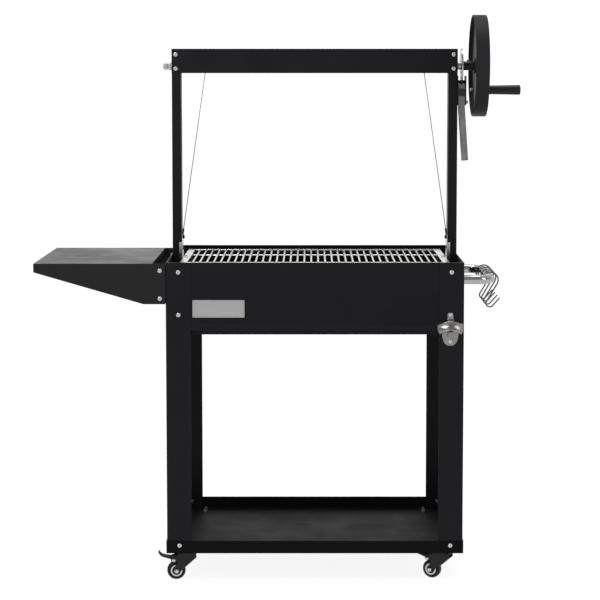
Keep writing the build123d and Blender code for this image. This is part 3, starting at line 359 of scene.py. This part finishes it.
def lift_rope(side):
    low, high = corners(f"{side}_lift_rope")
    radius = (high.y - low.y) / 2
    inner_x, outer_x = low.x + radius, high.x - radius
    if side == "left":
        inner_x, outer_x = outer_x, inner_x
    mid_y = (low.y + high.y) / 2
    top, foot = Vector((inner_x, mid_y, high.z)), Vector((outer_x, mid_y, low.z))
    count = int((top - foot).length / LAY * STEPS_PER_LAY)
    bm = bmesh.new()
    twisted(bm, [top.lerp(foot, step / count) for step in range(count + 1)], radius)
    piece = add(f"{side}_wire_rope", to_mesh(f"{side} wire rope", bm, 60), "cart", "rope_steel",
                f"{side}_lift_rope")
    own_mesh(piece)

    # the turns that stay on the drum
    wound = bmesh.new()
    wrap_r = SHAFT.y - mid_y
    steps = 36 * WOUND_TURNS
    sign = 1 if side == "right" else -1
    coil = []
    for step in range(steps + 1):
        done = WOUND_TURNS * step / steps
        turn = 2 * math.pi * done
        coil.append(Vector((inner_x + sign * TURN_PITCH * radius * done,
                            SHAFT.y - wrap_r * math.cos(turn), SHAFT.z - wrap_r * math.sin(turn))))
    twisted(wound, coil, radius)
    add(f"{side}_wound_turns", to_mesh(f"{side} wound turns", wound, 60), "winch", "rope_steel")


lift_rope("left")
lift_rope("right")


# ---- cooking grate ------------------------------------------------------------------------
GRATE_RODS = 36
ROD_PITCH = 18.6 * MM
ROD_R = 2.5 * MM
CROSS_R = 3.0 * MM
CROSS_AT = (-121 * MM, 105 * MM)


def flat_bar(bm, low, high, edge):
    """A flat bar between two corners, its edges rounded."""
    low, high = Vector(low), Vector(high)
    place = Matrix.Translation((low + high) / 2) @ Matrix.Diagonal((*(high - low), 1))
    made = bmesh.ops.create_cube(bm, size=1.0, matrix=place)
    edges = list({edge_of for vert in made["verts"] for edge_of in vert.link_edges})
    bmesh.ops.bevel(bm, geom=edges, offset=edge, segments=2, affect="EDGES", profile=0.5)


def cooking_grate():
    low, high = corners("cooking_grate")
    bm = bmesh.new()
    axis_z = high.z - ROD_R
    cross_z = low.z + CROSS_R
    bar_t = 5 * MM
    for number in range(GRATE_RODS):
        x = BODY_MID.x + (number - (GRATE_RODS - 1) / 2) * ROD_PITCH
        tube(bm, [(x, low.y + bar_t * 0.4, axis_z), (x, high.y - bar_t * 0.4, axis_z)], ROD_R, 14)
        for y in CROSS_AT:
            blob(bm, (x, BODY_MID.y + y - 1.5 * MM, cross_z + 2.2 * MM), (2.6 * MM, 2.4 * MM, 1.6 * MM))
        for y in (low.y + bar_t, high.y - bar_t):
            blob(bm, (x, y, axis_z - 1.2 * MM), (2.9 * MM, 1.9 * MM, 1.6 * MM))
    for y in CROSS_AT:
        tube(bm, [(low.x, BODY_MID.y + y, cross_z), (high.x, BODY_MID.y + y, cross_z)], CROSS_R, 14)
    for y in (low.y, high.y - bar_t):
        flat_bar(bm, (low.x, y, high.z - 8 * MM), (high.x, y + bar_t, high.z - 0.5 * MM), 0.8 * MM)
    add("rod_grate", to_mesh("rod grate", bm, 50), "carriage", "grate_steel", "cooking_grate")


cooking_grate()


# ---- handwheel, collar and grip -----------------------------------------------------------
def eased(corners, steps=5):
    """A closed outline of (along, radius, fillet) corners with each corner rounded to its fillet."""
    outline = []
    count = len(corners)
    for i, (along, height, fillet) in enumerate(corners):
        here = Vector((along, height))
        before = Vector(corners[i - 1][:2])
        after = Vector(corners[(i + 1) % count][:2])
        back, on = before - here, after - here
        if fillet <= 0:
            outline.append((here.x, here.y))
            continue
        half = back.angle(on) / 2
        reach = min(fillet / math.tan(half), 0.48 * back.length, 0.48 * on.length)
        start, end = here + back.normalized() * reach, here + on.normalized() * reach
        for step in range(steps + 1):
            t = step / steps
            point = (1 - t) ** 2 * start + 2 * t * (1 - t) * here + t ** 2 * end
            outline.append((point.x, point.y))
    return outline


def handwheel():
    low, high = corners("handwheel")
    rim_r = (high.z - low.z) / 2
    width = high.x - low.x
    wall, web_left, web_right = 5 * MM, 11 * MM, 15 * MM
    boss_r, bore = 20 * MM, 8.2 * MM
    section = [
        (0, rim_r, 4 * MM), (width, rim_r, 4 * MM), (width, rim_r - wall, 1.8 * MM),
        (web_right, rim_r - wall - 1 * MM, 4 * MM), (web_right, boss_r + 3 * MM, 3 * MM),
        (web_right + 8 * MM, boss_r, 1.5 * MM), (web_right + 8 * MM, bore, 0.6 * MM),
        (web_left - 7 * MM, bore, 0.6 * MM), (web_left - 7 * MM, boss_r, 1.5 * MM),
        (web_left, boss_r + 2 * MM, 2 * MM), (web_left, rim_r - wall - 0.5 * MM, 3 * MM),
        (0, rim_r - wall, 1.8 * MM),
    ]
    bm = bmesh.new()
    lathe(bm, (low.x, SHAFT.y, SHAFT.z), ALONG_X, eased(section), 160, closed=True)
    grip = joint_at("crank_grip_spin")
    pad = eased([(web_left - 1 * MM, 11 * MM, 0.8 * MM), (web_right + 1 * MM, 11 * MM, 0.8 * MM),
                 (web_right + 1 * MM, 4.2 * MM, 0), (web_left - 1 * MM, 4.2 * MM, 0)])
    lathe(bm, (low.x, grip.y, grip.z), ALONG_X, pad, 48, closed=True)
    add("dished_wheel", to_mesh("dished wheel", bm, 40), "winch", "handwheel_black", "handwheel")

    low, high = corners("hub_collar")
    radius, length = (high.z - low.z) / 2, high.x - low.x
    bm = bmesh.new()
    section = eased([
        (0, radius, 1.2 * MM), (length * 0.32, radius, 0.4 * MM),
        (length * 0.36, radius - 0.8 * MM, 0.3 * MM), (length * 0.40, radius, 0.4 * MM),
        (length, radius, 1.2 * MM), (length, bore, 0), (0, bore, 0),
    ])
    lathe(bm, (low.x, SHAFT.y, SHAFT.z), ALONG_X, section, 72, closed=True)
    add("turned_collar", to_mesh("turned collar", bm, 30), "winch", "black_fitting", "hub_collar")


def crank_grip():
    low, high = corners("crank_grip")
    grip = joint_at("crank_grip_spin")
    length, radius = high.x - low.x, (high.z - low.z) / 2
    bore, recess = 4.2 * MM, 8 * MM
    section = [
        (0, bore, 0), (0, radius * 0.74, 1.2 * MM), (3 * MM, radius * 0.80, 0.5 * MM),
        (5 * MM, radius * 0.76, 0.8 * MM), (7 * MM, radius * 0.82, 0.8 * MM),
        (22 * MM, radius * 0.87, 6 * MM),
        (length * 0.6, radius * 0.92, 10 * MM), (length - 8 * MM, radius * 0.98, 4 * MM),
        (length - 3 * MM, radius, 1.5 * MM), (length, radius * 0.84, 1.5 * MM), (length, recess, 0.8 * MM),
        (length - 6.6 * MM, recess, 0.5 * MM), (length - 6.6 * MM, bore, 0),
    ]
    bm = bmesh.new()
    lathe(bm, (low.x, grip.y, grip.z), ALONG_X, eased(section), 72, closed=True)
    add("moulded_grip", to_mesh("moulded grip", bm, 35), "crank_grip", "grip_plastic", "crank_grip")


handwheel()
crank_grip()
for turned_node in ("winch_shaft", "rope_drums", "shaft_nuts", "grip_pin", "hub_set_screw", "brake_pivot"):
    soften(turned_node, 0.3 * MM)


# ---- hook rail and hooks ------------------------------------------------------------------
RAIL_R = 12.5 * MM
RAIL_BEND = 40 * MM
RAIL_HALF = 150 * MM
BEND_STEPS = 12
FLANGE_R = 24 * MM
FLANGE_T = 2.5 * MM
WELD_BEADS = 26


def hook_rail():
    axis_x, axis_y, axis_z = joint_at("hook_swing_1").x, BODY_MID.y, joint_at("hook_swing_1").z
    wall_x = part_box("hook_rail")[0][0]
    path = [Vector((wall_x + 1 * MM, axis_y - RAIL_HALF, axis_z))]
    for end in (-1, 1):
        bend = []
        for step in range(BEND_STEPS + 1):
            t = math.radians(90 * (1 - step / BEND_STEPS))
            out = axis_x - RAIL_BEND * (1 - math.cos(t))
            bend.append(Vector((out, axis_y + end * (RAIL_HALF - RAIL_BEND * (1 - math.sin(t))), axis_z)))
        path += bend if end < 0 else list(reversed(bend))
    path.append(Vector((wall_x + 1 * MM, axis_y + RAIL_HALF, axis_z)))
    bm = bmesh.new()
    tube(bm, path, RAIL_R, 48, dome=False)
    for end in (-1, 1):
        y = axis_y + end * RAIL_HALF
        bore = RAIL_R - 1 * MM
        flange = eased([
            (0, FLANGE_R, 0.3 * MM), (FLANGE_T, FLANGE_R, 0.8 * MM), (FLANGE_T, bore, 0), (0, bore, 0),
        ])
        lathe(bm, (wall_x, y, axis_z), ALONG_X, flange, 72, closed=True)
        weld_r = RAIL_R + 0.6 * MM
        for bead in range(WELD_BEADS):
            turn = 2 * math.pi * bead / WELD_BEADS
            centre = (wall_x + 3.3 * MM, y + weld_r * math.cos(turn), axis_z + weld_r * math.sin(turn))
            blob(bm, centre, (1.5 * MM, 1.9 * MM, 1.9 * MM))
    add("bent_rail", to_mesh("bent rail", bm, 40), "cart", "stainless_tube", "hook_rail")


HOOK_HANG = math.radians(5.5)
HOOK_LEAN = math.radians(-25)
HOOK_END_LEAN = math.radians(36)
HOOK_WIRE_R = 2 * MM


def s_hook(number):
    """A bent wire hook: a wide curl over the rail, a leaning shank and a small curl below."""
    top_c, top_r, foot_r, shank, tail = Vector((2.4, 0, -5.5)) * MM, 21 * MM, 10 * MM, 55 * MM, 27 * MM
    down = Vector((math.sin(HOOK_LEAN), 0, -math.cos(HOOK_LEAN)))
    side = Vector((math.cos(HOOK_LEAN), 0, math.sin(HOOK_LEAN)))
    foot_c = top_c + side * top_r + down * shank + side * foot_r
    out = Vector((math.sin(HOOK_END_LEAN), 0, math.cos(HOOK_END_LEAN)))
    points = arc((top_c.x, top_c.z), top_r, 205, math.degrees(math.atan2(side.z, side.x)), 28, 0)
    points += [points[-1] + down * shank * share for share in (0.25, 0.5, 0.75)]
    start = math.degrees(math.atan2(-side.z, -side.x))
    end = math.degrees(math.atan2(-out.x, out.z))
    points += arc((foot_c.x, foot_c.z), foot_r, start - 360 if start > end else start, end, 18, 0)
    points += [points[-1] + out * tail * share for share in (0.33, 0.66, 1.0)]
    turn = Matrix.Rotation(HOOK_HANG, 3, "Y")
    pivot = joint_at(f"hook_swing_{number}")
    bm = bmesh.new()
    tube(bm, [pivot + turn @ point for point in points], HOOK_WIRE_R, 16)
    add(f"wire_hook_{number}", to_mesh(f"wire hook {number}", bm, 50), f"s_hook_{number}", "hook_wire",
        f"s_hook_{number}")


hook_rail()
for hook_number in range(1, 5):
    s_hook(hook_number)


# ---- casters ------------------------------------------------------------------------------
RING = 1                     # material index of the pale bearing ring
RING_STRETCHES = (4, 5, 6)   # the stretches of the wheel's profile that the ring covers
AXLE_HEAD_SEAT = 18.0 * MM
PEDAL_HEAD_SEAT = 17.6 * MM


def caster_wheel(name):
    """A crowned tread, a stepped side with a pale bearing ring, and a boss at the axle."""
    node = f"caster_wheel_{name}"
    hub, axis = joint_at(f"caster_roll_{name}"), joint_axis(f"caster_roll_{name}")
    wheel_r, half = hub.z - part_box(node)[0][2], 11 * MM
    # (out from the side face, radius) in millimetres, from the axle to the tread
    steps = [
        (2.2, 4.1), (2.2, 7.4), (1.7, 8.0), (-1.2, 8.4), (-1.9, 10.6), (0.2, 11.4), (0.6, 13.2), (0.1, 15.4),
        (-1.9, 16.4), (-1.4, 18.2), (-0.6, 19.8), (-1.1, 21.4), (-2.6, 23.2),
    ]
    side = [(half + out * MM, radius * MM) for out, radius in steps]
    side.append((half - 5.2 * MM, wheel_r - 0.25 * MM))
    tread = [(half - 8 * MM, wheel_r - 0.02 * MM), (0, wheel_r)]
    right = side + tread
    profile = right + [(-along, radius) for along, radius in reversed(right[:-1])]
    bands = [RING if number in RING_STRETCHES else 0 for number in range(len(right) - 1)]
    bm = bmesh.new()
    lathe(bm, hub, axis, profile, 72, closed=True, bands=bands + list(reversed(bands)))
    mesh = to_mesh(f"{name} wheel", bm, 28)
    mesh.materials.append(NYLON)
    mesh.materials.append(ZINC)
    add(f"moulded_wheel_{name}", mesh, f"caster_wheel_{name}", "wheel_nylon", node)

    # the axle screw: a domed head with a hexagon socket on each side of the fork
    bm = bmesh.new()
    for way in (-1, 1):
        seat = hub + axis * way * AXLE_HEAD_SEAT
        lathe(bm, seat, axis * way, [(-0.2 * MM, 5.6 * MM), (1.2 * MM, 5.6 * MM), (2.2 * MM, 4.9 * MM),
                                     (2.7 * MM, 3.6 * MM), (2.75 * MM, 3.0 * MM)], 32)
        lathe(bm, seat, axis * way, [(2.6 * MM, 2.2 * MM), (2.78 * MM, 2.0 * MM)], 6)
    add(f"axle_screw_{name}", to_mesh(f"{name} axle screw", bm, 30), f"caster_fork_{name}", "zinc_screw")


def pedal_pin(name):
    """The riveted heads of the pin that a caster's pedal turns on."""
    bm = bmesh.new()
    at, axis = joint_at(f"pedal_press_{name}"), joint_axis(f"pedal_press_{name}")
    for way in (-1, 1):
        lathe(bm, at + axis * way * PEDAL_HEAD_SEAT, axis * way,
              [(0, 4.7 * MM), (1.6 * MM, 4.7 * MM), (2.6 * MM, 3.4 * MM), (2.9 * MM, 1.6 * MM)], 24)
    add(f"pedal_pin_{name}", to_mesh(f"{name} pedal pin", bm, 40), f"caster_fork_{name}", "zinc_screw")


for caster_name in ("front_left", "front_right", "rear_left", "rear_right"):
    caster_wheel(caster_name)
for braked_name in ("front_left", "front_right"):
    pedal_pin(braked_name)
soften("caster_plates", 0.4 * MM)


# ---- bottle opener: a dished shield, a hollow hood with a rolled lip, and the tooth -------
LIP_STEPS = 36


def hood_spot(at, side, down, at_wall=False):
    """A spot on the hood: side runs from -1 to 1 across, and down from 0 at the neck to 1 at the lip."""
    reach = abs(side)
    across = side * (32.5 - 5 * down ** 1.5 + 1.5 * math.sin(math.pi * down))
    top = 67 - 12 * reach ** 1.5
    lip = 43.5 - 11.5 * reach ** 1.3
    crown = (7 + 15.5 * math.sin(math.pi / 2 * down ** 0.8)) * (1 - 0.45 * reach ** 2.4)
    return at + Vector((across, -2 if at_wall else -crown, top + (lip - top) * down)) * MM


def hood_skin(bm, at, columns=36, rows=12):
    """A hollow hood with a wing on each side, turned back to the leg at its top and sides."""
    lines = []
    for row in range(-1, rows + 1):
        line = []
        for column in range(-1, columns + 2):
            side = 2 * min(max(column, 0), columns) / columns - 1
            at_wall = row < 0 or not 0 <= column <= columns
            line.append(bm.verts.new(hood_spot(at, side, max(row, 0) / rows, at_wall)))
        lines.append(line)
    for upper, lower in zip(lines, lines[1:]):
        for i in range(len(upper) - 1):
            bm.faces.new((upper[i], upper[i + 1], lower[i + 1], lower[i]))


def raised_outline(bm, at, outline, proud):
    """A flat outline of (x, z) points in millimetres, standing proud of the leg."""
    back = [bm.verts.new(at + Vector((x, 0, z)) * MM) for x, z in outline]
    front = [bm.verts.new(at + Vector((x, -proud, z)) * MM) for x, z in outline]
    bridge(bm, back, front)
    bm.faces.new(front)
    bm.faces.new(list(reversed(back)))


def opener():
    low, high = corners("bottle_opener")
    at = Vector(((low.x + high.x) / 2, high.y, low.z + 1 * MM))
    right = [
        (7, -0.5), (14, 4), (18.5, 12), (21, 22), (22, 34), (21, 50), (15, 60), (8, 67), (8, 80), (6.5, 85),
    ]
    left = [(-x, z) for x, z in reversed(right)]
    bm = bmesh.new()
    raised_outline(bm, at, right + [(0, 87.5)] + left + [(0, -1)], 3.5)
    shield = add("opener_shield", to_mesh("opener shield", bm, 40), "cart", "opener_metal", "bottle_opener")
    rounded(shield, 1.3 * MM, 3)

    bm = bmesh.new()
    raised_outline(bm, at + Vector((0, -3 * MM, 0)), [(-8, 24), (8, 24), (6.5, 38), (-6.5, 38)], 9)
    tooth = add("opener_tooth", to_mesh("opener tooth", bm, 40), "cart", "opener_metal")
    rounded(tooth, 2.2 * MM, 3)

    bm = bmesh.new()
    hood_skin(bm, at)
    hood = add("opener_hood", to_mesh("opener hood", bm, 50), "cart", "opener_metal")
    wall = hood.modifiers.new("wall", "SOLIDIFY")
    wall.thickness = 2.6 * MM
    wall.offset = 0.0

    bm = bmesh.new()
    tube(bm, [hood_spot(at, 2 * step / LIP_STEPS - 1, 1.0) for step in range(LIP_STEPS + 1)], 1.7 * MM, 12)
    collar = [at + Vector((9.2 * math.cos(turn), -6 * math.sin(turn), 67)) * MM
              for turn in (math.pi * step / 16 for step in range(17))]
    tube(bm, collar, 2.0 * MM, 12)
    add("opener_lip", to_mesh("opener lip", bm, 50), "cart", "opener_metal")


opener()


# ---- nameplate: a blank plate with a pressed border ---------------------------------------
def plate_border(inset=3.2 * MM, corner=4.0 * MM, bead=0.8 * MM):
    low, high = corners("nameplate")
    left, right = low.x + inset + corner, high.x - inset - corner
    foot, head = low.z + inset + corner, high.z - inset - corner
    loop = []
    for quarter, centre in enumerate(((right, head), (left, head), (left, foot), (right, foot))):
        loop += arc(centre, corner, 90 * quarter, 90 * quarter + 90, 6, low.y)
    bm = bmesh.new()
    tube(bm, loop + [loop[0]], bead, 8, dome=False)
    add("nameplate_border", to_mesh("plate border", bm, 50), "cart", "plate_metal")


plate_border()


# ---- camera -------------------------------------------------------------------------------
CAMERA_AT = Vector((0.0659, -5.3724, 1.3312))
PITCH = math.radians(5.0)
camera_data = bpy.data.cameras.new("camera")
camera_data.lens = 118.11
camera_data.sensor_width = 36.0
camera_data.shift_x = -0.0144
camera_data.shift_y = -0.0832
camera = bpy.data.objects.new("camera", camera_data)
camera.location = CAMERA_AT
camera.rotation_euler = (math.pi / 2 - PITCH, 0, 0)
bpy.context.scene.collection.objects.link(camera)
bpy.context.scene.camera = camera


# ---- floor, sky and lights ----------------------------------------------------------------
def stage_floor():
    bm = bmesh.new()
    bmesh.ops.create_grid(bm, x_segments=8, y_segments=8, size=60.0)
    mesh = to_mesh("floor", bm)
    paper = shader("floor paper", (0.16, 0.16, 0.16), 0.9, specular=0.02, fade=0.01, blotch=(1, 1, 1),
                   grain=60, grain_depth=0.0001)
    glow = paper.node_tree.nodes["Principled BSDF"]
    glow.inputs["Emission Color"].default_value = (1, 1, 1, 1)
    glow.inputs["Emission Strength"].default_value = 0.9
    mesh.materials.append(paper)
    floor = bpy.data.objects.new("floor", mesh)
    bpy.context.scene.collection.objects.link(floor)


def softbox(name, place, aim, width, height, power):
    light = bpy.data.lights.new(name, "AREA")
    light.shape = "RECTANGLE"
    light.size, light.size_y = width, height
    light.energy = power
    lamp = bpy.data.objects.new(name, light)
    lamp.location = place
    lamp.rotation_euler = (Vector(aim) - Vector(place)).to_track_quat("-Z", "Y").to_euler()
    bpy.context.scene.collection.objects.link(lamp)


def sky():
    """Pale behind the cart and dim in front of it, so that metal and gloss show dark cores."""
    world = bpy.data.worlds.new("studio")
    bpy.context.scene.world = world
    world.use_nodes = True
    nodes, links = world.node_tree.nodes, world.node_tree.links
    direction = nodes.new("ShaderNodeTexCoord")
    split = nodes.new("ShaderNodeSeparateXYZ")
    links.new(direction.outputs["Generated"], split.inputs["Vector"])
    ramp = nodes.new("ShaderNodeValToRGB")
    ramp.color_ramp.interpolation = "EASE"
    stops = [(0.0, 0.42), (0.28, 0.4), (0.55, 0.7), (0.75, 1.05), (1.0, 1.1)]
    for position, level in stops[1:-1]:
        ramp.color_ramp.elements.new(position).color = (level, level, level, 1)
    for index in (0, -1):
        level = stops[index][1]
        ramp.color_ramp.elements[index].color = (level, level, level, 1)
    spread = nodes.new("ShaderNodeMapRange")
    spread.inputs["From Min"].default_value = -1.0
    spread.inputs["From Max"].default_value = 1.0
    links.new(split.outputs["Y"], spread.inputs["Value"])
    links.new(spread.outputs["Result"], ramp.inputs["Fac"])
    links.new(ramp.outputs["Color"], nodes["Background"].inputs["Color"])


stage_floor()
sky()
softbox("key", (-1.5, -2.4, 2.7), (0, 0, 1.2), 1.4, 1.0, 55)
softbox("fill", (2.6, -1.8, 2.0), (0, 0, 0.9), 0.8, 1.8, 20)
softbox("top", (0.0, 0.4, 3.8), (0, 0, 0.8), 2.6, 1.2, 55)
bpy.context.scene.view_settings.view_transform = "Standard"
bpy.context.scene.view_settings.look = "None"
